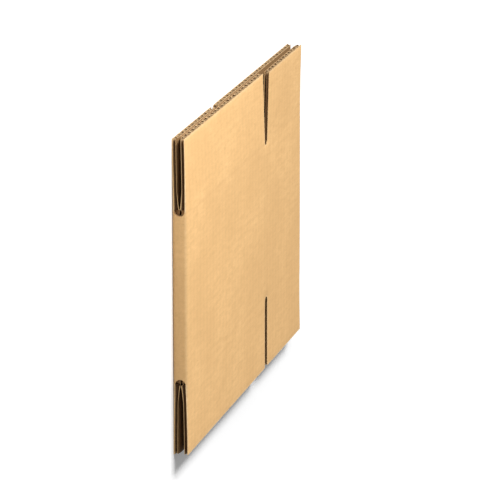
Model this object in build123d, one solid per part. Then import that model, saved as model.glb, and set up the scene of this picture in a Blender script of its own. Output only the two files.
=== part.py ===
"""A plain slotted shipping box of single-wall corrugated board, glued at its side lap and folded flat.

It lies on its back. X runs from the near fold to the far fold, Y along the flutes from the bottom flaps to the top
flaps, and Z out of the upper face. The origin is the middle of the face that it rests on. Sizes are in millimetres.
"""

from build123d import *
import math
import os

# Panels of the blank. Each layer of the flat box holds one long and one short panel between its two folds.
LONG_PANEL = 212.0
SHORT_PANEL = 101.0
BODY_DEPTH = 110.0

# Single-wall board with a C flute: outer liner, fluted medium, inner liner.
BOARD = 4.0
LINER = 0.45
MEDIUM = 0.3
FLUTE_PITCH = 8.2
FLANK_ANGLE = 50.0

# Slots between neighbouring flaps, and the board beside cuts and scores.
SLOT_WIDTH = 7.0
SLOT_PAST_SCORE = 0.5
CUT_MARGIN = 0.8
SLOT_MARGIN = 1.5
SCORE_WIDTH = 3.0
SCORE_FLOOR = 0.2

# The two folds, pressed flat.
LAYER_GAP = 1.8
FOLD_WALL = 3.3
FOLD_CORNER = 2.2
FOLD_CRUSH = 5.7
FOLD_SETBACK = 1.0

# The lap that the maker glues inside the lower long panel, crushed thin.
LAP_WIDTH = 34.0
LAP_NECK = 5.0
LAP_CLEARANCE = 0.4
LAP_TAPER = 9.0
LAP_END_CLEARANCE = 2.0
SEAM_GAP = 1.2

# How far the free edges of two top flaps have moved: the upper short panel's up, the upper long panel's down.
SPRUNG_FLAP_RISE = 1.5
PRESSED_FLAP_SINK = 1.3

# Worked out from the sizes above.
FLAT_WIDTH = LONG_PANEL + SHORT_PANEL
FLAT_THICK = 2 * BOARD + LAYER_GAP
UPPER = BOARD + LAYER_GAP
MIDDLE = FLAT_THICK / 2
SCORE_LINE = BODY_DEPTH / 2
FLAP_END = SCORE_LINE + SHORT_PANEL / 2
SLOT_CENTRE = SCORE_LINE + SLOT_WIDTH / 2 - SLOT_PAST_SCORE
UPPER_SCORE = LONG_PANEL
LOWER_SCORE = SHORT_PANEL
FLUTES_START = FOLD_WALL + FOLD_CRUSH
SCORE_CRUSH = SLOT_WIDTH + 2 * SLOT_MARGIN
SCORE_DEPTH = LINER - SCORE_FLOOR
LAP_THICK = LAYER_GAP - LAP_CLEARANCE

# A flute's opening, worked out so that the medium between two openings has its own thickness everywhere.
CORE = BOARD - 2 * LINER
FLANK = math.radians(FLANK_ANGLE)
FLUTE_HALF_BASE = (FLUTE_PITCH / 2 + CORE / math.tan(FLANK) - MEDIUM / math.sin(FLANK)) / 2
FLUTE_DEPTH = CORE - MEDIUM
FLANKS_MEET = FLUTE_HALF_BASE * math.tan(FLANK)
FLUTE_TIP_RADIUS = (FLANKS_MEET - FLUTE_DEPTH) / (1 / math.cos(FLANK) - 1)


def opening(x, base, side):
    """One flute's opening, seen from the board's end: its base on a liner, its tip rounded. Side is 1 or -1."""
    near = (x - FLUTE_HALF_BASE, base)
    tip = (x, base + side * FLANKS_MEET)
    far = (x + FLUTE_HALF_BASE, base)
    flanks = FilletPolyline(near, tip, far, radius=FLUTE_TIP_RADIUS)
    return Wire([*flanks.edges(), Line(far, near).edge()])


def openings(start, end, floor):
    """Every flute that lies whole between two places in a board whose lower face is at floor."""
    found = []
    reach = FLUTE_HALF_BASE + CUT_MARGIN
    steps = math.ceil(FLAT_WIDTH / FLUTE_PITCH)
    for step in range(-steps, steps + 1):
        x = FLAT_WIDTH / 2 + step * FLUTE_PITCH / 2
        if x - reach < start or x + reach > end:
            continue
        if step % 2:
            found.append(opening(x, floor + LINER, 1))
        else:
            found.append(opening(x, floor + BOARD - LINER, -1))
    return found


def prism(face, start, run, rise=0.0):
    """A section drawn across the flutes, extruded along them. A rise lifts the far end, or lowers it."""
    return Solid.extrude(Pos(0, start, 0) * (Plane.XZ * face), Vector(0, run, rise))


def layer_gap():
    """The space between the two layers, round at both folds."""
    width = FLAT_WIDTH - 2 * FOLD_WALL
    return Pos(FLAT_WIDTH / 2, MIDDLE) * SlotOverall(width, LAYER_GAP)


def body_section():
    """The body's ring of four panels: closed at the folds, crushed solid there and at the open scores."""
    corners = [(0, 0), (0, FLAT_THICK), (FLAT_WIDTH, FLAT_THICK), (FLAT_WIDTH, 0)]
    outline = FilletPolyline(*corners, radius=FOLD_CORNER, close=True).wire()
    last = FLAT_WIDTH - FLUTES_START
    half = SCORE_CRUSH / 2
    holes = [layer_gap().wire()]
    for score, floor in ((LOWER_SCORE, 0.0), (UPPER_SCORE, UPPER)):
        holes += openings(FLUTES_START, score - half, floor)
        holes += openings(score + half, last, floor)
    return Face(outline, holes)


def body():
    """Four panels joined by two folds, out to where the slots begin to round, with the seam at the lap."""
    ring = prism(body_section(), -SLOT_CENTRE, 2 * SLOT_CENTRE)
    cuts = []
    for end in (-SLOT_CENTRE, SLOT_CENTRE):
        cuts.append(Pos(UPPER_SCORE, end, UPPER + BOARD / 2) * Cylinder(SLOT_WIDTH / 2, BOARD))
        for fold in (FOLD_WALL / 2, FLAT_WIDTH - FOLD_WALL / 2):
            notch = Cylinder(SLOT_WIDTH / 2, FOLD_WALL, rotation=(0, 90, 0))
            cuts.append(Pos(fold, end, MIDDLE) * notch)
    cuts.append(Pos(LOWER_SCORE, 0, BOARD / 2) * Box(SEAM_GAP, 2 * SLOT_CENTRE, BOARD))
    return ring - cuts


def flap(start, end, floor, side, rise=0.0):
    """One flap from the slots' round ends to its cut end. Side is 1 at the top end and -1 at the bottom end."""
    corners = [(start, floor), (start, floor + BOARD), (end, floor + BOARD), (end, floor)]
    face = Face(Polyline(*corners, close=True).wire(), openings(start, end, floor))
    return prism(face, side * SLOT_CENTRE, side * (FLAP_END - SLOT_CENTRE), rise)


def flaps():
    """Eight flaps. The slots are the spaces between them."""
    half = SLOT_WIDTH / 2
    first, last = FOLD_SETBACK, FLAT_WIDTH - FOLD_SETBACK
    found = []
    for side in (-1, 1):
        sprung = SPRUNG_FLAP_RISE if side > 0 else 0.0
        pressed = -PRESSED_FLAP_SINK if side > 0 else 0.0
        found.append(flap(first, LOWER_SCORE - half, 0.0, side))
        found.append(flap(LOWER_SCORE + half, last, 0.0, side))
        found.append(flap(first, UPPER_SCORE - half, UPPER, side, pressed))
        found.append(flap(UPPER_SCORE + half, last, UPPER, side, sprung))
    return found


def lap():
    """The glued lap: it leaves the lower short panel at its neck and lies on the lower long panel."""
    long_edge = SCORE_LINE - LAP_END_CLEARANCE
    short_edge = long_edge - LAP_TAPER
    neck, tip = LOWER_SCORE - LAP_NECK, LOWER_SCORE + LAP_WIDTH
    corners = [(neck, -long_edge), (LOWER_SCORE, -long_edge), (tip, -short_edge)]
    corners += [(x, -y) for x, y in reversed(corners)]
    plan = make_face(Polyline(*corners, close=True))
    return extrude(Pos(0, 0, BOARD) * plan, LAP_THICK)


def score_groove(length):
    """The shallow V that a scoring wheel leaves, to be cut from a face at Z = 0. It runs along X."""
    half = SCORE_WIDTH / 2
    mouth = [(-half, 0), (half, 0), (0, -SCORE_DEPTH)]
    face = make_face(Polyline(*mouth, close=True))
    return extrude(Plane.YZ * face, length)


def grooves():
    """Flap scores across both outer faces, and the open score down the upper face between its slots."""
    found = []
    for y in (-SCORE_LINE, SCORE_LINE):
        found.append(Pos(0, y, FLAT_THICK) * score_groove(FLAT_WIDTH))
        found.append(Pos(0, y, 0) * Rot(180, 0, 0) * score_groove(FLAT_WIDTH))
    open_score = Pos(UPPER_SCORE, -SCORE_LINE, FLAT_THICK) * Rot(0, 0, 90)
    found.append(open_score * score_groove(BODY_DEPTH))
    return found


def flattened_box():
    """The whole folded sheet as one solid, with its origin under its middle."""
    sheet = body() + flaps() + lap() - grooves()
    return Pos(-FLAT_WIDTH / 2, 0, 0) * sheet


os.makedirs("parts", exist_ok=True)
export_step(flattened_box(), "parts/flattened_box.step")
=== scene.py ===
"""A plain shipping box of single-wall corrugated kraft board, glued at its lap and folded flat.

It lies on its lower face. X runs from the near fold to the far fold, Y along the flutes from the bottom flaps
to the top flaps, and Z out of the upper face. The board is made as a box plant makes it: two liners with a
fluted medium between them, crushed at the folds. Lengths are metres.
"""

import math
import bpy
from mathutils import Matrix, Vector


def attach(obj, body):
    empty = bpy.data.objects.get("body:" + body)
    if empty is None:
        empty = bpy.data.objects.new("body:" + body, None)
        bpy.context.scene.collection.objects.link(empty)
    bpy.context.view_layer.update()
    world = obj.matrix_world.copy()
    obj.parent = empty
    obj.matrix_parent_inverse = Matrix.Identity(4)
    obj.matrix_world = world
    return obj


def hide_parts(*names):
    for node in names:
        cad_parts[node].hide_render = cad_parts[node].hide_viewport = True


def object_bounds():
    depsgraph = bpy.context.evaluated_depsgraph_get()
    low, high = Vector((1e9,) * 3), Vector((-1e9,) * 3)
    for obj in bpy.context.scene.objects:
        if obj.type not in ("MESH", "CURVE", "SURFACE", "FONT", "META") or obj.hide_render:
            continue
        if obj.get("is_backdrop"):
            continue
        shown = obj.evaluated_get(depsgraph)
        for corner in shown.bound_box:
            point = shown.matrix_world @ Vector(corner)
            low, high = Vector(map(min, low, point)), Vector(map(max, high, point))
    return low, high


bl_info = {
    "name": "Flattened cardboard box",
    "version": (1, 0, 0),
    "blender": (4, 5, 0),
    "location": "3D View > Sidebar > Flat box",
    "description": "Builds a folded-flat corrugated shipping box, paper by paper",
    "category": "Object",
}

import bmesh
import bpy
from bpy.props import FloatProperty, FloatVectorProperty, PointerProperty
from mathutils import Matrix, Vector

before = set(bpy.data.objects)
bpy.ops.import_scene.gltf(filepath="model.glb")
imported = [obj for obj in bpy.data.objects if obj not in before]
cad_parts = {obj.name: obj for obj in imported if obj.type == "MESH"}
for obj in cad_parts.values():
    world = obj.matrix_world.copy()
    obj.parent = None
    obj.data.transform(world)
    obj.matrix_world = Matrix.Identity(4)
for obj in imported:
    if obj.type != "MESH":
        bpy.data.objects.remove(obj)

MM = 0.001
BOARD_NODE = "flattened_box"
BODY = "root"

# A paper's material slots: its face, what cutting or slotting left bare, and its back.
CUT_FACE = 1
BACK_FACE = 2
SMOOTH_ANGLE = math.radians(35)

# The papers' columns, rows and side strips, how near counts as touching, and the reach of bisects and merges.
COLUMNS_PER_FLUTE = 6
INSIDE_COLUMNS_PER_FLUTE = 3
ROW = 4.4 * MM
INSIDE_ROW = 8.8 * MM
STRIP_WIDTH = 1 * MM
LEAST_STRIPS = 2
TOUCH = 0.02 * MM
BISECT_REACH = 1e-7
MERGE_REACH = 0.01 * MM

# A score's groove: distances from its middle, and the share of its depth that it has there.
GROOVE_STEPS = ((0.0, 1.0), (0.8 * MM, 0.6), (1.8 * MM, 0.0), (3.4 * MM, -0.15))

# Distances from a cut end at which the sheets have a row of points.
PINCH_STEPS = (0.7 * MM, 2.0 * MM, 3.6 * MM)

# Steps of the folds' bends: while the flaps' sides go round too, after that, and down the flat nose.
WRAP_STEPS = 4
BEND_STEPS = 2
NOSE_STEPS = 4

# How far along a flap its side takes to straighten, how it eases, and how far behind the nose it then is.
RUN_OUT = 46 * MM
RUN_OUT_EASE = 1.6
FREE_SIDE_SETBACK = 0.5 * MM

# How far cutters stand clear and run on past a slot's centre, how much longer a fold's cutter is than its
# wall, and how far past the slots' centres the inner liner's flap sides start.
CLEAR = 1 * MM
CUTTER_RUN = 0.4 * MM
CUTTER_SPARE = 1.4 * MM
STRIP_START = 0.8 * MM
ROD_SIDES = 48

# How far the knives crush the board: its inner and outer face beside the folds, and either face elsewhere.
INNER_CRUSH = 1.3 * MM
OUTER_CRUSH = 0.15 * MM
CUT_CRUSH = 0.35 * MM

# Over what distances it fades: from a flap's side, along it, from a mid slot and from a cut end, which has
# only a share of it.
SIDE_FADE = 6 * MM
ALONG_FADE = 8 * MM
SLOT_FADE = 5 * MM
END_FADE = 4 * MM
END_SHARE = 0.5

# How far the inner papers' sides still follow a fold's bend, how far the upper layer is out of flat, and what
# share of its rise the flap that stands up has lost at its fold.
SIDE_CURL = 0.8 * MM
WAVINESS = 0.3 * MM
RISE_LOST = 0.55

# The sheet's unevenness: each wave's direction, its distance for one radian, and its shift.
RIPPLES = (
    ((1, 0), 37 * MM, 2.1),
    ((0, 1), 29 * MM, 1.3),
    ((1, 1), 19 * MM, 0.7),
    ((1, -2), 53 * MM, 1.0),
)

# How far the liners' and the medium's ends are frayed, and the fray's waves: distance for one radian, slant.
LINER_FRAY = 0.15 * MM
MEDIUM_FRAY = 0.4 * MM
FRAY_WAVES = ((1.7 * MM, 1), (0.9 * MM, 3))

# Where a liner is marked pale beside a flap's side, a mid slot and a cut end: how strongly, and over what
# distance the mark weakens by one. The pale mark is partly fibres roughed up and partly a painted highlight.
SIDE_RUB_AND_HIGHLIGHT = (1.2, 1.3 * MM)
SLOT_RUB_AND_HIGHLIGHT = (0.5, 2.6 * MM)
END_RUB_AND_HIGHLIGHT = (0.6, 2.2 * MM)

# The pale mark over a fold's corner, partly rubbing and partly a painted highlight where the bend catches the
# light: how strong it is, how far round the bend, and over what angle it fades.
CORNER_RUB_AND_HIGHLIGHT = 0.25
CORNER_PLACE = math.radians(50)
CORNER_FADE = math.radians(35)

# How pale the medium is marked at its ends, partly pulled-up fibres and partly painted light at the flutes'
# openings, and over what distance that fades.
TORN_AND_LIT_SHARE = 0.65
TORN_AND_LIT_FADE = 2.0 * MM

# The medium: its flanks' angle, the steps of its arcs and how far it stays behind the board's cut sides.
FLUTE_PITCH = 8.2 * MM
FLANK_ANGLE = math.radians(50)
ARC_STEPS = 3
MEDIUM_SETBACK = 0.1 * MM

# How unevenly the flutes are spaced: each wave's drift, the most that a point may move, over what distance it
# fades at the sides, and each wave's distances for one radian, along X, Y and Z, and its shift.
DRIFT = 0.15 * MM
DRIFT_REACH = 1 * MM
DRIFT_FADE = 10 * MM
DRIFT_WAVES = (((4.3 * MM, 31 * MM, 1 * MM), 0), ((2.9 * MM, math.inf, math.inf), 2))

# The fold cores: how far they reach from the nose, how much longer their bars start, their roundings' steps,
# and the rounding of the gap in them. At 1 its two sides would meet.
CORE_REACH = 6 * MM
CORE_SPARE = 12 * MM
CORE_STEPS = 6
GAP_STEPS = 8
GAP_ROUNDING = 0.999

# The glued lap: how far it starts before the seam, ends before the flap scores and tapers, and its soft edge.
LAP_NECK = 5 * MM
LAP_CLEARANCE = 2 * MM
LAP_TAPER = 9 * MM
LAP_EDGE = 0.2 * MM

# A wave texture of scale 1 repeats after this distance.
WAVE_REPEAT = math.tau / 20

WHITE = (1.0, 1.0, 1.0, 1.0)

# The floor's glow to the camera is 1 - GLOW_FALL / (distance from the box's middle + GLOW_START).
FLOOR_SIZE = 60.0
GLOW_START = 1.4875
GLOW_FALL = 1.52

# The photograph's view, worked out from the box's corners. Lens and sensor are in millimetres.
CAMERA_PLACE = Vector((-2.4371, 0.6492, 0.6303))
CAMERA_AIM = Vector((0.0, 0.0, 0.005))
PICTURE_UP = Vector((0.2412, 0.9686, -0.0598))
CAMERA_LENS = 285.3
SENSOR_WIDTH = 36.0


def linear(code):
    """A colour written as sRGB hex, as the linear numbers that Blender's sockets take."""
    parts = []
    for place in (16, 8, 0):
        share = ((code >> place) & 255) / 255
        if share <= 0.04045:
            parts.append(share / 12.92)
        else:
            parts.append(((share + 0.055) / 1.055) ** 2.4)
    return tuple(parts)


def length(name, description, default):
    """A size that a user may change."""
    return FloatProperty(
        name=name, description=description, default=default,
        min=0.0, precision=4, subtype="DISTANCE", unit="LENGTH",
    )


def colour(name, description, code):
    """A colour that a user may change."""
    return FloatVectorProperty(
        name=name, description=description, default=linear(code),
        min=0.0, max=1.0, size=3, subtype="COLOR",
    )


class FlatBoxSizes(bpy.types.PropertyGroup):
    """The blank's sizes and how the sheet lies when it is folded."""

    long_panel: length("Long panel", "Width of the two long panels", 212 * MM)
    short_panel: length("Short panel", "Width of the two short panels", 101 * MM)
    body_depth: length("Body depth", "Depth of the panels between their flap scores", 110 * MM)
    board: length("Board", "Thickness of the corrugated board", 4 * MM)
    liner: length("Liner", "Thickness of a liner", 0.45 * MM)
    medium: length("Medium", "Thickness of the fluted paper", 0.3 * MM)
    flute_pitch: length("Flute pitch", "Distance from one flute to the next", FLUTE_PITCH)
    layer_gap: length("Layer gap", "Space between the two layers of the folded sheet", 1.8 * MM)
    fold_wall: length("Fold wall", "Thickness of the crushed board at the nose of a fold", 3.3 * MM)
    fold_corner: length("Fold corner", "Radius of the outer liner's corners at a fold", 2.2 * MM)
    fold_setback: length("Fold setback", "How far behind a fold's nose the flaps start", 1 * MM)
    slot_width: length("Slot width", "Width of the slots between neighbouring flaps", 7 * MM)
    slot_past_score: length("Slot past score", "How far the slots run past the flap scores", 0.5 * MM)
    score_depth: length("Score depth", "Depth of the scoring wheel's groove", 0.05 * MM)
    seam_gap: length("Seam gap", "Gap between the two panel ends over the glued lap", 1.2 * MM)
    lap_width: length("Lap width", "How far the glued lap reaches under the long panel", 34 * MM)
    lap_thickness: length("Lap thickness", "Thickness of the crushed lap", 1.4 * MM)
    flap_rise: length("Flap rise", "How far the short panel's top flap stands up", 1.5 * MM)
    flap_sink: length("Flap sink", "How far the long panel's top flap is pressed in", 1.3 * MM)


class FlatBoxColours(bpy.types.PropertyGroup):
    """The colours of the papers and of the floor."""

    outer: colour("Outer liner", "Kraft liner on the outside of the box", 0xEDBE80)
    # The inner liner is drawn darker than the outer one, partly as a darker liner and partly as painted shade
    # of the narrow gap between the layers.
    inner: colour("Inner liner", "Kraft liner on the inside of the box", 0x8C6A41)
    # The liners' hidden side is dark partly from glue stain and partly as painted shade inside the flutes.
    glued: colour("Glued side", "The liners' hidden side, stained by the flutes' starch glue", 0x7E5C38)
    # The medium's dark brown is partly its recycled paper and partly painted shade of the flute hollows and
    # slots.
    medium: colour("Medium", "Recycled paper of the flutes", 0x6E4F2F)
    # The trimmed cuts' colour is partly its own bare fibres and partly painted shade on the board's cut ends,
    # where the key lamp falls strongly.
    cut: colour("Cut liner", "Bare fibres where a liner is trimmed", 0xA8865E)
    # The slotted edges' pale cream is partly pulled-up fibres and partly a painted highlight along the slots'
    # edges.
    slotted: colour("Slotted liner", "Torn_and_lit fibres where a slotting knife went through", 0xEFC48A)
    medium_cut: colour("Cut medium", "Bare fibres where the medium is cut", 0xCDAE80)
    # The medium's pale ends are partly pulled-up fibres and partly painted light where the flutes open.
    torn_and_lit: colour("Torn_and_lit medium", "Fibres of the medium pulled up pale beside its cut ends", 0xD9BA8C)
    # This pale colour is partly roughed-up fibres and partly a painted highlight on the cut edges and fold
    # corners.
    rubbed_and_highlit: colour("Rubbed_and_highlit liner", "Liner rubbed pale along its cuts and over the folds", 0xF6DAAC)
    crushed: colour("Crushed board", "Board pressed solid at the folds", 0xB0875A)
    lap: colour("Lap", "Crushed lap with its dried glue", 0xBE9364)
    floor: colour("Floor", "Pale floor that the box lies on", 0xE6E6E6)


def middle_height(sizes):
    """The height of the plane halfway between the two layers."""
    return sizes.board + sizes.layer_gap / 2


def half_width(sizes):
    """From the middle of the flat box to the nose of either fold."""
    return (sizes.long_panel + sizes.short_panel) / 2


def score_place(sizes):
    """How far the upper layer's open score is from the middle. The seam below is as far the other way."""
    return sizes.long_panel - half_width(sizes)


def flap_score(sizes):
    """The distance of the flap scores from the middle."""
    return sizes.body_depth / 2


def slot_centre(sizes):
    """The distance of the slots' round ends, at their centres, from the middle."""
    return flap_score(sizes) + sizes.slot_width / 2 - sizes.slot_past_score


def flap_end(sizes):
    """The distance of the flaps' cut ends from the middle. Flaps are half a short panel deep."""
    return flap_score(sizes) + sizes.short_panel / 2


def flap_side(sizes):
    """The distance of the flaps' slotted sides, at the folds, from the middle."""
    return half_width(sizes) - sizes.fold_setback


def chosen(context):
    """The sizes and the colours that are set in the scene."""
    return context.scene.flat_box_sizes, context.scene.flat_box_colours


def go_to(mode):
    """Switches the active object to a mode."""
    bpy.ops.object.mode_set(mode=mode)


def pick_all():
    """Selects the whole mesh in edit mode."""
    bpy.ops.mesh.select_all(action="SELECT")


def start_piece():
    """Leaves edit mode and deselects everything, so that an operator acts on the new piece alone."""
    active = bpy.context.view_layer.objects.active
    if active and active.mode != "OBJECT":
        go_to("OBJECT")
    bpy.ops.object.select_all(action="DESELECT")


def add_grid(name, low, high, columns, rows, height):
    """A flat grid between two corners, left in edit mode with its object at the origin."""
    start_piece()
    bpy.ops.mesh.primitive_grid_add(x_subdivisions=columns, y_subdivisions=rows, size=1)
    piece = bpy.context.object
    piece.name = name
    piece.data.name = name
    go_to("EDIT")
    bpy.ops.transform.resize(value=(high[0] - low[0], high[1] - low[1], 1))
    centre = ((low[0] + high[0]) / 2, (low[1] + high[1]) / 2, height)
    bpy.ops.transform.translate(value=centre)
    return piece


def pick(kind, test):
    """Selects, in edit mode, the points, edges or faces all of whose points pass a test of their place."""
    bpy.ops.mesh.select_mode(type=kind)
    bpy.ops.mesh.select_all(action="DESELECT")
    mesh = bpy.context.object.data
    made = bmesh.from_edit_mesh(mesh)
    parts = {"VERT": made.verts, "EDGE": made.edges, "FACE": made.faces}[kind]
    found = 0
    for part in parts:
        points = [part] if kind == "VERT" else part.verts
        if all(test(*point.co) for point in points):
            part.select_set(True)
            found += 1
    made.select_flush_mode()
    bmesh.update_edit_mesh(mesh)
    if not found:
        raise RuntimeError(f"nothing to pick on {bpy.context.object.name}")


def cut_across(axis, places):
    """Bisects all of the mesh across an axis, at each of the places on it."""
    direction = [0, 0, 0]
    direction[axis] = 1
    for place in places:
        pick_all()
        at = [part * place for part in direction]
        bpy.ops.mesh.bisect(plane_co=at, plane_no=direction, threshold=BISECT_REACH)


def delete_faces(test):
    """Takes out, in edit mode, the faces all of whose points pass a test of their place."""
    pick("FACE", test)
    bpy.ops.mesh.delete(type="FACE")


def extrude(*shift):
    """Draws what is picked out by a shift along X, Y and Z."""
    bpy.ops.mesh.extrude_region_move(TRANSFORM_OT_translate={"value": shift})


def finish_mesh():
    """Merges doubles, points the faces outwards and leaves edit mode."""
    pick_all()
    bpy.ops.mesh.remove_doubles(threshold=MERGE_REACH)
    bpy.ops.mesh.normals_make_consistent(inside=False)
    go_to("OBJECT")


def apply_modifier(piece, kind, **settings):
    """Adds a modifier, sets it and applies it."""
    bpy.context.view_layer.objects.active = piece
    made = piece.modifiers.new(kind.title(), kind)
    for name, value in settings.items():
        setattr(made, name, value)
    bpy.ops.object.modifier_apply(modifier=made.name)


def thicken(piece, thickness, side):
    """Gives a sheet its thickness. Side is -1 behind its faces, 0 both ways and 1 before them."""
    while len(piece.data.materials) <= BACK_FACE:
        piece.data.materials.append(None)
    apply_modifier(
        piece, "SOLIDIFY", thickness=thickness, offset=side, use_even_offset=True,
        material_offset=BACK_FACE, material_offset_rim=CUT_FACE,
    )


def join(pieces):
    """Joins objects into the first of them."""
    start_piece()
    for piece in pieces:
        piece.select_set(True)
    bpy.context.view_layer.objects.active = pieces[0]
    bpy.ops.object.join()
    return pieces[0]


def add_bar(name, low, high, round_axis=None, radius=0.0, steps=1):
    """A block between two corners. Its edges along one axis may be rounded."""
    start_piece()
    centre = [(a + b) / 2 for a, b in zip(low, high)]
    bpy.ops.mesh.primitive_cube_add(size=1, location=centre)
    bar = bpy.context.object
    bar.name = name
    bar.data.name = name
    bpy.ops.transform.resize(value=[abs(b - a) for a, b in zip(low, high)])
    bpy.ops.object.transform_apply(location=True, rotation=True, scale=True)
    if round_axis is not None:
        go_to("EDIT")
        bpy.ops.mesh.select_mode(type="EDGE")
        bpy.ops.mesh.select_all(action="DESELECT")
        made = bmesh.from_edit_mesh(bar.data)
        for edge in made.edges:
            run = edge.verts[1].co - edge.verts[0].co
            edge.select_set(abs(run[round_axis]) > run.length - TOUCH)
        bmesh.update_edit_mesh(bar.data)
        bpy.ops.mesh.bevel(
            offset=radius, offset_type="OFFSET", segments=steps, profile=0.5, clamp_overlap=False
        )
        go_to("OBJECT")
    return bar


def add_rod(centre, radius, depth, axis):
    """A half-round cutter along an axis: round towards the box's middle, and flat just past its centre."""
    turns = {0: (0, math.pi / 2, 0), 2: (0, 0, 0)}
    outward = math.copysign(1, centre[1])
    start_piece()
    bpy.ops.mesh.primitive_cylinder_add(
        vertices=ROD_SIDES, radius=radius, depth=depth, location=centre, rotation=turns[axis]
    )
    rod = bpy.context.object
    bpy.ops.object.transform_apply(location=True, rotation=True, scale=True)
    go_to("EDIT")
    pick_all()
    bpy.ops.mesh.bisect(
        plane_co=(0, centre[1], 0), plane_no=(0, outward, 0),
        use_fill=True, clear_outer=True, threshold=BISECT_REACH,
    )
    pick("FACE", lambda x, y, z: abs(y - centre[1]) < TOUCH)
    extrude(0, outward * CUTTER_RUN, 0)
    go_to("OBJECT")
    return rod


def slot_cutters(sizes, folds=True):
    """Rods that round the slots' ends: one at each mid slot, and one across each fold."""
    radius = sizes.slot_width / 2 - TOUCH
    place = score_place(sizes)
    middle = middle_height(sizes)
    top = 2 * sizes.board + sizes.layer_gap
    nose = half_width(sizes)
    made = []
    for end in (-slot_centre(sizes), slot_centre(sizes)):
        reach = top - middle + CLEAR
        made.append(add_rod((place, end, middle + reach / 2), radius, reach, 2))
        made.append(add_rod((-place, end, middle - reach / 2), radius, reach, 2))
        if folds:
            depth = sizes.fold_wall + CUTTER_SPARE
            for side in (-1, 1):
                x = side * (nose + CLEAR - depth / 2)
                made.append(add_rod((x, end, middle), radius, depth, 0))
    return join(made)


def carve(piece, cutter):
    """Takes a cutter's shape out of a piece. What the cut leaves bare takes the cut faces' material."""
    while len(cutter.data.materials) <= CUT_FACE:
        cutter.data.materials.append(None)
    for face in cutter.data.polygons:
        face.material_index = CUT_FACE
    apply_modifier(piece, "BOOLEAN", operation="DIFFERENCE", solver="EXACT", object=cutter)
    bpy.data.objects.remove(cutter)


def press(piece, reach, shift, direction="Z"):
    """Moves a piece's points by a shift of place, up to a reach either way, painted as two vertex groups."""
    names = {1: "Up", -1: "Down"}
    groups = {side: piece.vertex_groups.new(name=name) for side, name in names.items()}
    for vertex in piece.data.vertices:
        share = shift(*vertex.co) / reach
        if share:
            groups[math.copysign(1, share)].add([vertex.index], min(abs(share), 1.0), "REPLACE")
    # Applying a modifier renews the list of groups, so from here on they are known by their names.
    for side, name in names.items():
        apply_modifier(
            piece, "DISPLACE", direction=direction, mid_level=0.0, strength=side * reach, vertex_group=name
        )
    piece.vertex_groups.clear()


def smooth_step(share):
    """Eases a share from 0 to 1."""
    share = min(max(share, 0.0), 1.0)
    return share * share * (3 - 2 * share)


def slot_distance(x, y, z, sizes):
    """How far a point is from the mid slots of its layer, their round ends included."""
    upper = z > middle_height(sizes)
    place = score_place(sizes) if upper else -score_place(sizes)
    before = max(0.0, slot_centre(sizes) - abs(y))
    return math.hypot(x - place, before) - sizes.slot_width / 2


def ripple(x, y):
    """An uneven value from 0 to 1 that drifts slowly over the sheet."""
    wave = sum(math.sin((across * x + along * y) / run + shift) for (across, along), run, shift in RIPPLES)
    return (1 + wave / len(RIPPLES)) / 2


def settle(piece, sizes, curled=True):
    """Lays a paper as the box lies: crushed at its cuts, bent at its folds, two flaps out of place."""
    middle = middle_height(sizes)
    end = flap_end(sizes)
    start = slot_centre(sizes)
    slot = score_place(sizes)
    half_board = sizes.board / 2
    board_middle = sizes.layer_gap / 2 + half_board

    def moved(x, y, z):
        """How far a point moves up."""
        outward = 1 if z > middle else -1
        level = (outward * (z - middle) - board_middle) / half_board
        on_flap = abs(y) > start - TOUCH
        from_side = flap_side(sizes) - abs(x)

        # The board is crushed beside a fold's slots, at the mid slots and a little at its cut ends.
        beside_fold = smooth_step(1 - from_side / SIDE_FADE) * smooth_step((abs(y) - start) / ALONG_FADE)
        at_end = END_SHARE * smooth_step(1 - (end - abs(y)) / END_FADE)
        beside_cut = max(at_end, smooth_step(1 - slot_distance(x, y, z, sizes) / SLOT_FADE))
        out = -max(level, 0.0) * OUTER_CRUSH * beside_fold + max(-level, 0.0) * INNER_CRUSH * beside_fold
        out -= level * CUT_CRUSH * beside_cut * (1 - beside_fold)

        # The flaps' sides still follow the fold's bend, and straighten towards their free ends.
        if curled and on_flap:
            out -= SIDE_CURL * max(0.0, 1 - from_side / SIDE_FADE) ** 2 * (1 - run_out(y, sizes))
        rise = outward * out

        # Of the upper layer's top flaps one stands up and the other is pressed in.
        along = max(0.0, (y - start) / (end - start))
        if z > middle and x > slot:
            rise += sizes.flap_rise * along * (1 - RISE_LOST * (x - slot) / sizes.short_panel)
        elif z > middle:
            rise -= sizes.flap_sink * along
        return rise + WAVINESS * ripple(x, y) * smooth_step((z - middle) / half_board)

    press(piece, sizes.board, moved)


def fray(piece, sizes, depth):
    """Leaves a paper's cut ends a little uneven."""
    end = flap_end(sizes)

    def shortened(x, y, z):
        """How far a point at a cut end moves inwards."""
        if abs(y) < end - TOUCH:
            return 0.0
        wave = sum(math.sin(x / run + slant * z / MM) for run, slant in FRAY_WAVES)
        uneven = (1 + wave / len(FRAY_WAVES)) / 2
        return -math.copysign(depth * uneven, y)

    press(piece, depth, shortened, "Y")


def rub_and_highlight_at(rub_and_highlight, distance):
    """How strongly a cut marks the sheet pale at a distance from it, partly as rubbing and partly as a
    painted highlight.
    """
    strength, fall = rub_and_highlight
    return strength - max(distance, 0.0) / fall


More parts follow.
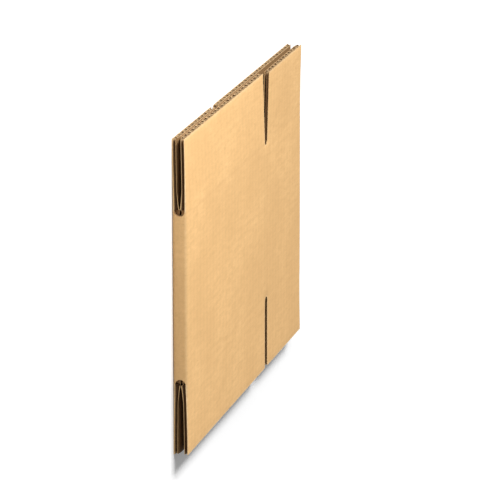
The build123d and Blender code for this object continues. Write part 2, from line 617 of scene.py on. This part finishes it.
def wear_and_highlight(piece, sizes, wrap):
    """Marks where a liner is pale: along its cuts and over the corners of its folds, partly rubbing, partly a
    painted highlight.

    At the flaps' sides the distance from the cut is measured along the sheet, round the bend.
    """
    middle = middle_height(sizes)
    end = flap_end(sizes)
    start = slot_centre(sizes)
    straight = half_width(sizes) - sizes.fold_corner
    overhang = sizes.fold_corner - FREE_SIDE_SETBACK
    worn_and_lit = piece.data.attributes.new("worn_and_lit", "FLOAT", "POINT")
    for vertex, mark in zip(piece.data.vertices, worn_and_lit.data):
        x, y, z = vertex.co
        height = abs(z - middle) - (middle - sizes.fold_corner)
        turned = math.atan2(max(0.0, abs(x) - straight), height)
        rub_and_highlight = max(0.0, rub_and_highlight_at(END_RUB_AND_HIGHLIGHT, end - abs(y)), rub_and_highlight_at(SLOT_RUB_AND_HIGHLIGHT, slot_distance(x, y, z, sizes)))
        if abs(y) > start - TOUCH:
            straightened = run_out(y, sizes)
            share = straightened * (abs(x) - straight) / overhang + (1 - straightened) * turned / wrap
            rub_and_highlight = max(rub_and_highlight, rub_and_highlight_at(SIDE_RUB_AND_HIGHLIGHT, (1 - share) * sizes.fold_corner * wrap))
        # Over the fold corners the mark is partly rubbing and partly a painted highlight where the bend
        # catches the light.
        if turned and height > 0 and abs(y) < start:
            rub_and_highlight = max(rub_and_highlight, CORNER_RUB_AND_HIGHLIGHT * (1 - abs(turned - CORNER_PLACE) / CORNER_FADE))
        mark.value = rub_and_highlight


def tear_and_light(piece, sizes):
    """Marks the medium pale beside its cut ends: pulled-up fibres, and painted light at the flutes' openings.
    """
    end = flap_end(sizes)
    worn_and_lit = piece.data.attributes.new("worn_and_lit", "FLOAT", "POINT")
    for vertex, mark in zip(piece.data.vertices, worn_and_lit.data):
        mark.value = TORN_AND_LIT_SHARE * max(0.0, 1 - (end - abs(vertex.co.y)) / TORN_AND_LIT_FADE)


def run_out(y, sizes):
    """How far a flap's side has straightened at a place along it, from 0 at the slot's round end to 1."""
    share = (abs(y) - slot_centre(sizes)) / RUN_OUT
    return 1 - (1 - min(max(share, 0.0), 1.0)) ** RUN_OUT_EASE


def groove(sizes, axis, place, upper_only):
    """Shapes the rows beside a score into the shallow groove of a scoring wheel, in edit mode."""
    middle = middle_height(sizes)
    for offset, depth in GROOVE_STEPS:
        if not depth:
            continue
        for side in (1, -1) if offset else (1,):
            at = place + side * offset
            for inward in (1, -1):
                if inward > 0 and (upper_only or depth < 0):
                    continue

                def on_row(x, y, z):
                    """Whether a point is on this row of the groove."""
                    if upper_only and abs(y) > flap_score(sizes) + TOUCH:
                        return False
                    near = abs((x, y)[axis] - at) < TOUCH
                    return near and (z < middle) == (inward > 0)

                pick("VERT", on_row)
                bpy.ops.transform.translate(value=(0, 0, inward * depth * sizes.score_depth))


def folded_liner(name, sizes, half_height, nose, bend, wrap, columns_per_flute, row):
    """A liner as one sheet round the box: an upper face, its turned-over copy and the two folds.

    Wrap is the angle by which the flaps' sides go round the bend with the body. At 0 they run straight on.
    """
    middle = middle_height(sizes)
    straight = nose - bend
    end = flap_end(sizes)
    score = flap_score(sizes)
    start = slot_centre(sizes)
    place = score_place(sizes)
    half_slot = sizes.slot_width / 2
    columns = round(2 * straight / (sizes.flute_pitch / columns_per_flute))
    rows = round(2 * end / row)
    top = middle + half_height
    piece = add_grid(name, (-straight, -end), (straight, end), columns, rows, top)

    steps = {offset * side for offset, _ in GROOVE_STEPS for side in (-1, 1)}
    cut_across(1, {side * score + offset for side in (-1, 1) for offset in steps})
    cut_across(1, (-start - STRIP_START, -start, start, start + STRIP_START))
    cut_across(1, {side * (end - step) for side in (-1, 1) for step in PINCH_STEPS})
    cut_across(0, {place + offset for offset in steps} | {place - half_slot, place + half_slot})
    delete_faces(lambda x, y, z: abs(x - place) < half_slot + TOUCH and abs(y) > start - TOUCH)

    overhang = flap_side(sizes) - straight
    strips = max(LEAST_STRIPS, round(overhang / STRIP_WIDTH))
    beside = start + STRIP_START
    for side in (-1, 1):
        if wrap:
            pick("EDGE", lambda x, y, z: abs(x - side * straight) < TOUCH)
            bend_on(side, side * straight, top - bend, wrap, WRAP_STEPS)
            continue
        for number in range(strips):
            at = side * (straight + overhang * number / strips)
            pick("EDGE", lambda x, y, z: abs(x - at) < TOUCH and abs(y) > beside - TOUCH)
            extrude(side * overhang / strips, 0, 0)

    pick_all()
    bpy.ops.mesh.duplicate()
    bpy.ops.transform.rotate(value=math.pi, orient_axis="Y", center_override=(0, 0, middle))

    reach = straight + bend * math.sin(wrap)
    level = top - bend * (1 - math.cos(wrap))
    rest = math.pi / 2 - wrap
    drop = 2 * (half_height - bend)
    for side in (-1, 1):

        def last_edge(x, y, z):
            """Whether a point is on the edge where the flaps' slots begin."""
            return abs(x - side * reach) < TOUCH and abs(z - level) < TOUCH and abs(y) < start + TOUCH

        pick("EDGE", last_edge)
        bend_on(side, side * straight, top - bend, rest, BEND_STEPS)
        if drop > TOUCH:
            for _ in range(NOSE_STEPS):
                extrude(0, 0, -drop / NOSE_STEPS)
        bend_on(side, side * straight, middle - half_height + bend, rest, BEND_STEPS)
    return piece


def bend_on(side, x, z, angle, steps):
    """Spins the picked edges on round a fold, over its nose and down."""
    bpy.ops.mesh.spin(steps=steps, angle=-side * angle, center=(x, 0, z), axis=(0, 1, 0))


def straighten_sides(piece, sizes, wrap):
    """Lets the flaps' sides, wrapped round the bend beside the body, straighten towards their free ends."""
    middle = middle_height(sizes)
    start = slot_centre(sizes)
    bend = sizes.fold_corner
    straight = half_width(sizes) - bend
    overhang = half_width(sizes) - FREE_SIDE_SETBACK - straight
    for vertex in piece.data.vertices:
        x, y, z = vertex.co
        if abs(x) < straight + TOUCH or abs(y) < start + TOUCH:
            continue
        up = 1 if z > middle else -1
        centre = middle + up * (middle - bend)
        angle = math.atan2(abs(x) - straight, up * (z - centre))
        flat_x = math.copysign(straight + overhang * angle / wrap, x)
        flat_z = middle + up * middle
        share = run_out(y, sizes)
        vertex.co.x = x + (flat_x - x) * share
        vertex.co.z = z + (flat_z - z) * share
    piece.data.update()


class FLATBOX_OT_outer_liner(bpy.types.Operator):
    """Makes the outer liner: one sheet of kraft paper round the box, scored, slotted and open at the seam."""

    bl_idname = "flat_box.outer_liner"
    bl_label = "Outer liner"

    def execute(self, context):
        sizes, colours = chosen(context)
        nose = half_width(sizes)
        middle = middle_height(sizes)
        # The slot's straight side meets the bend where the liner stands half a slot from the middle.
        bend = sizes.fold_corner
        wrap = math.acos((sizes.slot_width / 2 - middle + bend) / bend)
        piece = folded_liner("outer_liner", sizes, middle, nose, bend, wrap, COLUMNS_PER_FLUTE, ROW)
        open_seam(sizes)
        for end in (-flap_score(sizes), flap_score(sizes)):
            groove(sizes, 1, end, False)
        groove(sizes, 0, score_place(sizes), True)
        finish_mesh()
        straighten_sides(piece, sizes, wrap)
        thicken(piece, sizes.liner, -1)
        carve(piece, slot_cutters(sizes))
        fray(piece, sizes, LINER_FRAY)
        settle(piece, sizes, False)
        wear_and_highlight(piece, sizes, wrap)
        cut = cut_paper(colours.cut, colours.slotted)
        # The outer liner's back faces the flutes; its dark colour is partly painted shade inside them.
        glued = kraft_liner(colours.glued, colours.rubbed_and_highlit)
        dress(piece, kraft_liner(colours.outer, colours.rubbed_and_highlit), cut, glued)
        return {"FINISHED"}


def open_seam(sizes):
    """Takes the lower layer's open score out of a liner, in edit mode. There the blank's two ends meet."""
    middle = middle_height(sizes)
    place = score_place(sizes)
    half_gap = GROOVE_STEPS[1][0]
    start = slot_centre(sizes)
    delete_faces(lambda x, y, z: z < middle and abs(x + place) < half_gap + TOUCH and abs(y) < start + TOUCH)


class FLATBOX_OT_inner_liner(bpy.types.Operator):
    """Makes the inner liner: the sheet inside the board, round the narrow space between the layers."""

    bl_idname = "flat_box.inner_liner"
    bl_label = "Inner liner"

    def execute(self, context):
        sizes, colours = chosen(context)
        nose = half_width(sizes) - sizes.fold_wall
        half_height = sizes.layer_gap / 2
        piece = folded_liner(
            "inner_liner", sizes, half_height, nose, half_height, 0.0, INSIDE_COLUMNS_PER_FLUTE, INSIDE_ROW
        )
        open_seam(sizes)
        finish_mesh()
        thicken(piece, sizes.liner, 1)
        carve(piece, slot_cutters(sizes))
        fray(piece, sizes, LINER_FRAY)
        settle(piece, sizes)
        cut = cut_paper(colours.cut, colours.slotted)
        glued = kraft_liner(colours.glued, colours.rubbed_and_highlit)
        # This sheet's own faces look at the flutes, and the side that its thickness adds looks into the box.
        # Both sides' dark colours are partly painted shade of the flutes and of the gap between the layers.
        dress(piece, glued, cut, kraft_liner(colours.inner, colours.rubbed_and_highlit))
        return {"FINISHED"}


class FLATBOX_OT_fluted_medium(bpy.types.Operator):
    """Makes the fluted medium of both layers: one flute of arcs and flanks, repeated across the board."""

    bl_idname = "flat_box.fluted_medium"
    bl_label = "Fluted medium"

    def execute(self, context):
        sizes, colours = chosen(context)
        wave = (sizes.board - 2 * sizes.liner - sizes.medium) / 2
        pitch = sizes.flute_pitch
        end = flap_end(sizes)
        start = slot_centre(sizes)
        middle = middle_height(sizes)
        layer = sizes.board + sizes.layer_gap
        height = layer + sizes.board / 2
        slope = math.tan(FLANK_ANGLE)
        cosine = math.cos(FLANK_ANGLE)
        sine = math.sin(FLANK_ANGLE)
        radius = (wave * 2 - slope * pitch / 2) / (2 * (1 - cosine - slope * sine))
        first = -(2 * round(half_width(sizes) / pitch) + 1) * pitch / 2
        count = round(-2 * first / pitch)

        # One flute starts as the near edge of a narrow grid, at a crest.
        rows = round(2 * end / INSIDE_ROW)
        piece = add_grid("fluted_medium", (first, -end), (first + MM, end), 1, rows, height)
        pick("VERT", lambda x, y, z: x > first + TOUCH)
        bpy.ops.mesh.delete(type="VERT")
        bpy.ops.mesh.select_mode(type="EDGE")
        pick_all()
        bpy.ops.transform.translate(value=(0, 0, wave))
        side = 1
        x = first
        for _ in range(2):
            centre = (x, 0, height + side * (wave - radius))
            bpy.ops.mesh.spin(steps=ARC_STEPS, angle=-side * FLANK_ANGLE, center=centre, axis=(0, 1, 0))
            run = pitch / 2 - 2 * radius * sine
            extrude(run, 0, -side * run * slope)
            x += pitch / 2
            centre = (x, 0, height - side * (wave - radius))
            bpy.ops.mesh.spin(steps=ARC_STEPS, angle=side * FLANK_ANGLE, center=centre, axis=(0, 1, 0))
            side = -side
        go_to("OBJECT")
        apply_modifier(
            piece, "ARRAY", count=count, use_relative_offset=False, use_constant_offset=True,
            constant_offset_displace=(pitch, 0, 0), use_merge_vertices=True, merge_threshold=MERGE_REACH,
        )
        go_to("EDIT")
        pick_all()
        bpy.ops.mesh.duplicate()
        bpy.ops.transform.translate(value=(0, 0, -layer))
        side_cut = flap_side(sizes) - MEDIUM_SETBACK
        for side in (-1, 1):
            pick_all()
            bpy.ops.mesh.bisect(
                plane_co=(side * side_cut, 0, 0), plane_no=(side, 0, 0),
                clear_outer=True, threshold=BISECT_REACH,
            )
        place = score_place(sizes)
        half_slot = sizes.slot_width / 2 + MEDIUM_SETBACK
        core = half_width(sizes) - CORE_REACH
        sides = (place - half_slot, place + half_slot, -place - half_slot, -place + half_slot)
        cut_across(0, sides + (-core, core))
        body_end = start + CUTTER_RUN
        cut_across(1, (-body_end, -start, start, body_end, -end + TORN_AND_LIT_FADE, end - TORN_AND_LIT_FADE))

        def in_slot(x, y, z):
            """Whether a point is in a mid slot of its layer."""
            near = place if z > middle else -place
            return abs(x - near) < half_slot + TOUCH and abs(y) > start - TOUCH

        delete_faces(in_slot)
        delete_faces(lambda x, y, z: abs(x) > core - TOUCH and abs(y) < body_end + TOUCH)
        pick_all()
        bpy.ops.mesh.remove_doubles(threshold=MERGE_REACH)
        go_to("OBJECT")
        thicken(piece, sizes.medium, 0)
        carve(piece, slot_cutters(sizes, folds=False))

        def drift(x, y, z):
            """How unevenly the flutes are spaced at a place. At the board's sides there is no drift."""
            wave = 0.0
            for runs, shift in DRIFT_WAVES:
                wave += math.sin(sum(part / run for part, run in zip((x, y, z), runs)) + shift)
            return DRIFT * wave * smooth_step((side_cut - abs(x)) / DRIFT_FADE)

        press(piece, DRIFT_REACH, drift, "X")
        fray(piece, sizes, MEDIUM_FRAY)
        settle(piece, sizes)
        tear_and_light(piece, sizes)
        # The medium's dark colour is partly painted shade deep in the flutes and slots.
        cut = cut_paper(colours.medium_cut, colours.medium_cut)
        dress(piece, fluting_paper(colours.medium, colours.torn_and_lit), cut)
        return {"FINISHED"}


class FLATBOX_OT_fold_cores(bpy.types.Operator):
    """Makes the board that both folds press solid between the liners, with the fold slots' round ends."""

    bl_idname = "flat_box.fold_cores"
    bl_label = "Fold cores"

    def execute(self, context):
        sizes, colours = chosen(context)
        middle = middle_height(sizes)
        nose = half_width(sizes)
        start = slot_centre(sizes)
        outer = sizes.liner
        corner = sizes.fold_corner - sizes.liner
        made = []
        for side in (-1, 1):
            tip = side * (nose - outer)
            back = side * (nose - CORE_REACH - CORE_SPARE)
            far_corner = (back, start, 2 * middle - outer)
            core = add_bar("fold_core", (tip, -start, outer), far_corner, 1, corner, CORE_STEPS)
            inside = middle - sizes.layer_gap / 2 - sizes.liner
            gap_tip = side * (nose - sizes.fold_wall + sizes.liner)
            past = back - side * CLEAR
            run = start + CLEAR
            far_corner = (past, run, 2 * middle - inside)
            rounding = (middle - inside) * GAP_ROUNDING
            carve(core, add_bar("Gap cutter", (gap_tip, -run, inside), far_corner, 1, rounding, GAP_STEPS))
            far = side * (nose - CORE_REACH)
            carve(core, add_bar("Back cutter", (far, -run, -CLEAR), (past, run, 2 * middle + CLEAR)))
            made.append(core)
        piece = join(made)
        piece.name = "fold_cores"
        piece.data.name = "fold_cores"
        carve(piece, slot_cutters(sizes))
        paper = fluting_paper(colours.crushed, colours.torn_and_lit)
        dress(piece, paper, paper)
        return {"FINISHED"}


class FLATBOX_OT_glued_lap(bpy.types.Operator):
    """Makes the lap that is glued inside the lower long panel, crushed thin and tapered at its ends."""

    bl_idname = "flat_box.glued_lap"
    bl_label = "Glued lap"

    def execute(self, context):
        sizes, colours = chosen(context)
        place = -score_place(sizes)
        long_edge = flap_score(sizes) - LAP_CLEARANCE
        low = (place - LAP_NECK, -long_edge, sizes.board)
        high = (place + sizes.lap_width, long_edge, sizes.board + sizes.lap_thickness)
        piece = add_bar("glued_lap", low, high)
        go_to("EDIT")
        cut_across(0, (place,))
        for side in (-1, 1):
            pick("VERT", lambda x, y, z: x > high[0] - TOUCH and side * y > 0)
            bpy.ops.transform.translate(value=(0, -side * LAP_TAPER, 0))
        bpy.ops.mesh.select_mode(type="EDGE")
        pick_all()
        bpy.ops.mesh.bevel(offset=LAP_EDGE, segments=2, profile=0.5, affect="EDGES")
        go_to("OBJECT")
        paper = fluting_paper(colours.lap, colours.torn_and_lit)
        dress(piece, paper, paper)
        return {"FINISHED"}


def node(tree, kind, inputs=None, settings=None):
    """Adds a node to a material. Each of its inputs takes a fixed value or another node's output."""
    made = tree.nodes.new(kind)
    for name, value in (settings or {}).items():
        setattr(made, name, value)
    for name, given in (inputs or {}).items():
        if isinstance(given, bpy.types.NodeSocket):
            tree.links.new(given, made.inputs[name])
        else:
            made.inputs[name].default_value = given
    return made


def reckon(tree, operation, first, second=0.0, clamp=False):
    """The result of a sum with two numbers, each a fixed value or another node's output."""
    settings = {"operation": operation, "use_clamp": clamp}
    return node(tree, "ShaderNodeMath", {0: first, 1: second}, settings).outputs[0]


def noise(tree, place, scale, detail, roughness):
    """Noise over a place. Its scale, in repeats to the metre, is one number or one for each axis."""
    if isinstance(scale, tuple):
        place = node(tree, "ShaderNodeMapping", {"Vector": place, "Scale": scale}).outputs["Vector"]
        scale = 1.0
    inputs = {"Vector": place, "Scale": scale, "Detail": detail, "Roughness": roughness}
    return node(tree, "ShaderNodeTexNoise", inputs).outputs["Fac"]


def spread(tree, value, low, high, least=0.0, most=1.0):
    """Stretches a value's range from low to high over another range."""
    inputs = {"Value": value, "From Min": low, "From Max": high, "To Min": least, "To Max": most}
    return node(tree, "ShaderNodeMapRange", inputs).outputs["Result"]


def mix(tree, share, first, second, blend="MIX"):
    """Mixes a share of the second colour into the first."""
    inputs = {"Fac": share, "Color1": first, "Color2": second}
    return node(tree, "ShaderNodeMixRGB", inputs, {"blend_type": blend}).outputs["Color"]


def bump(tree, height, strength, distance, below=None):
    """Relief from a height, on top of the relief below it."""
    inputs = {"Height": height, "Strength": strength, "Distance": distance}
    if below is not None:
        inputs["Normal"] = below
    return node(tree, "ShaderNodeBump", inputs).outputs["Normal"]


def marks(tree):
    """What wear_and_highlight() or tear_and_light() has marked on the mesh: pale marks that are partly
    painted light.
    """
    return node(tree, "ShaderNodeAttribute", settings={"attribute_name": "worn_and_lit"}).outputs["Fac"]


def new_material(name):
    """A node material, its tree and the tree's first output, the place on the mesh."""
    material = bpy.data.materials.new(name)
    material.use_nodes = True
    tree = material.node_tree
    tree.nodes.clear()
    return material, tree, node(tree, "ShaderNodeTexCoord").outputs["Object"]


def finish_paper(tree, found, relief, roughness):
    """Gives a paper its colour, its relief and how matt it is."""
    inputs = {"Base Color": found, "Normal": relief, "Roughness": roughness, "IOR": 1.45}
    shader = node(tree, "ShaderNodeBsdfPrincipled", inputs)
    node(tree, "ShaderNodeOutputMaterial", {"Surface": shader.outputs["BSDF"]})


def shade(colour_value, factor):
    """A linear colour darker or lighter, with full alpha. Paper is browner where it is darker."""
    parts = [min(1.0, part * factor**power) for part, power in zip(colour_value, (1.0, 1.2, 1.5))]
    return (*parts, 1.0)


def kraft_liner(base, rubbed_and_highlit):
    """Unbleached kraft liner: warm brown, matt, its long fibres lying across the flutes."""
    material, tree, place = new_material("Kraft liner")
    # Formation: soft clouds of thicker and thinner paper, 12 mm long and 3 mm wide, and finer ones in them.
    clouds = noise(tree, place, scale=(83.0, 330.0, 330.0), detail=5.0, roughness=0.72)
    found = mix(tree, spread(tree, clouds, low=0.3, high=0.7), shade(base, 0.96), shade(base, 1.13))
    # Broad patches, about 50 mm across, where the sheet took up more or less moisture.
    patches = noise(tree, place, scale=20.0, detail=1.0, roughness=0.5)
    damp = spread(tree, patches, low=0.35, high=0.65, most=0.5)
    found = mix(tree, damp, found, shade(base, 0.93))
    # Fibres: streaks about 6 mm long and 0.5 mm wide, drawn coarser than real fibres so that they show.
    fibres = noise(tree, place, scale=(170.0, 1900.0, 1900.0), detail=3.0, roughness=0.6)
    found = mix(tree, 0.14, found, fibres, blend="MULTIPLY")
    # Flecks: single darker fibres and bits of bark, up to 2.5 mm long, drawn larger than real ones.
    flecks = noise(tree, place, scale=(400.0, 800.0, 800.0), detail=2.0, roughness=0.5)
    found = mix(tree, spread(tree, flecks, low=0.62, high=0.72, most=0.22), found, shade(base, 0.62))
    # The flutes show through the liner as faint bands, one to each flute.
    inputs = {"Vector": place, "Scale": WAVE_REPEAT / FLUTE_PITCH}
    inputs.update({"Distortion": 0.6, "Detail": 1.0, "Detail Scale": 0.5})
    settings = {"wave_type": "BANDS", "bands_direction": "X", "wave_profile": "SIN"}
    bands = node(tree, "ShaderNodeTexWave", inputs, settings).outputs["Fac"]
    found = mix(tree, 0.032, found, bands, blend="MULTIPLY")
    # Marked places are paler, along cuts and over the folds' corners: partly fibres that stand up, partly a
    # painted highlight.
    patchy = spread(tree, clouds, low=0.35, high=0.65, least=0.35, most=0.95)
    found = mix(tree, reckon(tree, "MULTIPLY", marks(tree), patchy), found, shade(rubbed_and_highlit, 1.0))
    relief = bump(tree, fibres, strength=0.3, distance=0.08 * MM)
    relief = bump(tree, bands, strength=0.22, distance=0.08 * MM, below=relief)
    finish_paper(tree, found, relief, roughness=0.78)
    return material


def fluting_paper(base, torn_and_lit):
    """Recycled fluting paper: duller than the liners, soft and uneven, and pale at its ends, partly as
    painted light.
    """
    material, tree, place = new_material("Fluting paper")
    clouds = noise(tree, place, scale=420.0, detail=4.0, roughness=0.65)
    found = mix(tree, clouds, shade(base, 0.7), shade(base, 1.3))
    # Pale where marked at its ends: partly pulled-up fibres, partly painted light at the flutes' openings.
    found = mix(tree, marks(tree), found, shade(torn_and_lit, 1.0))
    finish_paper(tree, found, bump(tree, clouds, strength=0.4, distance=0.1 * MM), roughness=0.9)
    return material


def cut_paper(base, slotted):
    """Bare fibres along a cut: furry, with no sheen, and paler where the slotting knife tore them and, in
    part, as a painted highlight.
    """
    material, tree, place = new_material("Cut paper")
    furry = noise(tree, place, scale=1600.0, detail=3.0, roughness=0.6)
    # Trimmed cuts: bare fibres, darkened in part as painted shade on the board's ends.
    trimmed = mix(tree, furry, shade(base, 0.75), shade(base, 1.2))
    torn_and_lit = mix(tree, furry, shade(slotted, 0.8), shade(slotted, 1.1))
    # The slotting knife cuts along the flutes, so what it leaves bare faces along X. Those faces are paler,
    # partly as a painted highlight along the slots' edges.
    normal = node(tree, "ShaderNodeTexCoord").outputs["Normal"]
    facing = node(tree, "ShaderNodeSeparateXYZ", {"Vector": normal})
    across = reckon(tree, "ABSOLUTE", facing.outputs["X"])
    found = mix(tree, spread(tree, across, low=0.4, high=0.8), trimmed, torn_and_lit)
    finish_paper(tree, found, bump(tree, furry, strength=0.5, distance=0.1 * MM), roughness=0.95)
    return material


def dress(piece, face, cut, back=None):
    """Gives a finished piece its materials and smooth shading, and ties it to the box."""
    start_piece()
    piece.select_set(True)
    bpy.context.view_layer.objects.active = piece
    indices = [polygon.material_index for polygon in piece.data.polygons]
    piece.data.materials.clear()
    for material in (face, cut, back or face):
        piece.data.materials.append(material)
    piece.data.polygons.foreach_set("material_index", indices)
    bpy.ops.object.shade_smooth_by_angle(angle=SMOOTH_ANGLE)
    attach(piece, BODY)
    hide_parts(BOARD_NODE)


def floor_material(base):
    """Pale matt floor. To the camera it is white where no shadow falls, and it keeps the shadow."""
    material, tree, place = new_material("Pale floor")
    path = node(tree, "ShaderNodeLightPath")
    seen = reckon(tree, "MAXIMUM", path.outputs["Is Camera Ray"], path.outputs["Is Glossy Ray"])
    seen = reckon(tree, "MAXIMUM", seen, path.outputs["Is Transmission Ray"])
    # The lamps' light falls off away from the box, and a glow makes up for it. Near the box it is faint.
    away = node(tree, "ShaderNodeVectorMath", {0: place}, {"operation": "LENGTH"}).outputs["Value"]
    lit = reckon(tree, "DIVIDE", GLOW_FALL, reckon(tree, "ADD", away, GLOW_START))
    level = reckon(tree, "MULTIPLY", seen, reckon(tree, "SUBTRACT", 1.0, lit, clamp=True))
    matt = node(tree, "ShaderNodeBsdfDiffuse", {"Color": mix(tree, seen, shade(base, 1.0), WHITE)})
    glow = node(tree, "ShaderNodeEmission", {"Strength": level})
    both = node(tree, "ShaderNodeAddShader", {0: matt.outputs["BSDF"], 1: glow.outputs["Emission"]})
    node(tree, "ShaderNodeOutputMaterial", {"Surface": both.outputs["Shader"]})
    return material


def add_lamp(name, place, width, height, watts):
    """A soft lamp that faces the box."""
    start_piece()
    bpy.ops.object.light_add(type="AREA", location=place)
    lamp = bpy.context.object
    lamp.name = name
    lamp.data.name = name
    lamp.data.shape = "RECTANGLE"
    lamp.data.size = width
    lamp.data.size_y = height
    lamp.data.energy = watts
    lamp.rotation_euler = (-Vector(place)).to_track_quat("-Z", "Y").to_euler()
    return lamp


class FLATBOX_OT_stage(bpy.types.Operator):
    """Makes the floor, the soft lamps, the world's light and the camera."""

    bl_idname = "flat_box.stage"
    bl_label = "Stage"

    def execute(self, context):
        _, colours = chosen(context)
        start_piece()
        bpy.ops.mesh.primitive_plane_add(size=FLOOR_SIZE)
        floor = bpy.context.object
        floor.name = "floor"
        floor.data.materials.append(floor_material(colours.floor))
        floor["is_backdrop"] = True

        add_lamp("Key lamp", place=(0.5, 3.38, 2.12), width=3.4, height=1.0, watts=206.0)
        add_lamp("Side lamp", place=(-0.28, 0.46, 0.29), width=0.25, height=0.25, watts=1.95)

        world = bpy.data.worlds.new("Studio")
        context.scene.world = world
        world.use_nodes = True
        tree = world.node_tree
        tree.nodes.clear()
        seen = node(tree, "ShaderNodeLightPath").outputs["Is Camera Ray"]
        fill = node(tree, "ShaderNodeBackground", {"Color": WHITE, "Strength": 0.25})
        backdrop = node(tree, "ShaderNodeBackground", {"Color": WHITE, "Strength": 1.0})
        choice = node(tree, "ShaderNodeMixShader", {0: seen, 1: fill.outputs[0], 2: backdrop.outputs[0]})
        node(tree, "ShaderNodeOutputWorld", {"Surface": choice.outputs["Shader"]})

        place_camera(context)
        context.scene.view_settings.view_transform = "Standard"
        return {"FINISHED"}


def place_camera(context):
    """Stands the camera where the photograph's was, low over the box, turned so that the flaps point up."""
    start_piece()
    bpy.ops.object.camera_add(location=CAMERA_PLACE)
    camera = bpy.context.object
    camera.name = "Camera"
    camera.data.lens = CAMERA_LENS
    camera.data.sensor_width = SENSOR_WIDTH
    back = (CAMERA_PLACE - CAMERA_AIM).normalized()
    right = PICTURE_UP.cross(back).normalized()
    up = back.cross(right)
    turn = Matrix((right, up, back)).transposed()
    camera.rotation_euler = turn.to_euler()
    context.scene.camera = camera


class FLATBOX_PT_panel(bpy.types.Panel):
    """Lists the pieces of the flat box, its sizes and its colours."""

    bl_idname = "FLATBOX_PT_panel"
    bl_label = "Flat box"
    bl_space_type = "VIEW_3D"
    bl_region_type = "UI"
    bl_category = "Flat box"

    def draw(self, context):
        for step in PIECES + (FLATBOX_OT_stage,):
            self.layout.operator(step.bl_idname, text=step.bl_label)
        for group in (context.scene.flat_box_sizes, context.scene.flat_box_colours):
            for name in group.__annotations__:
                self.layout.prop(group, name)


PIECES = (
    FLATBOX_OT_outer_liner,
    FLATBOX_OT_inner_liner,
    FLATBOX_OT_fluted_medium,
    FLATBOX_OT_fold_cores,
    FLATBOX_OT_glued_lap,
)
CLASSES = (FlatBoxSizes, FlatBoxColours) + PIECES + (FLATBOX_OT_stage, FLATBOX_PT_panel)


def register():
    """Adds the box's settings, its operators and its panel to Blender."""
    for made in CLASSES:
        bpy.utils.register_class(made)
    bpy.types.Scene.flat_box_sizes = PointerProperty(type=FlatBoxSizes)
    bpy.types.Scene.flat_box_colours = PointerProperty(type=FlatBoxColours)


def unregister():
    """Takes them out again."""
    del bpy.types.Scene.flat_box_colours
    del bpy.types.Scene.flat_box_sizes
    for made in reversed(CLASSES):
        bpy.utils.unregister_class(made)


def main():
    """Builds every piece and the stage, and keeps the CAD box and the visual model's box side by side."""
    cad_box = [list(corner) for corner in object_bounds()]
    register()
    bpy.ops.flat_box.outer_liner()
    bpy.ops.flat_box.inner_liner()
    bpy.ops.flat_box.fluted_medium()
    bpy.ops.flat_box.fold_cores()
    bpy.ops.flat_box.glued_lap()
    bpy.ops.flat_box.stage()
    visual_box = [list(corner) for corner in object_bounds()]
    for axis in range(3):
        if visual_box[0][axis] < cad_box[0][axis] - TOUCH or visual_box[1][axis] > cad_box[1][axis] + TOUCH:
            raise RuntimeError("the pieces reach out of the part's box")


if __name__ == "__main__":
    main()
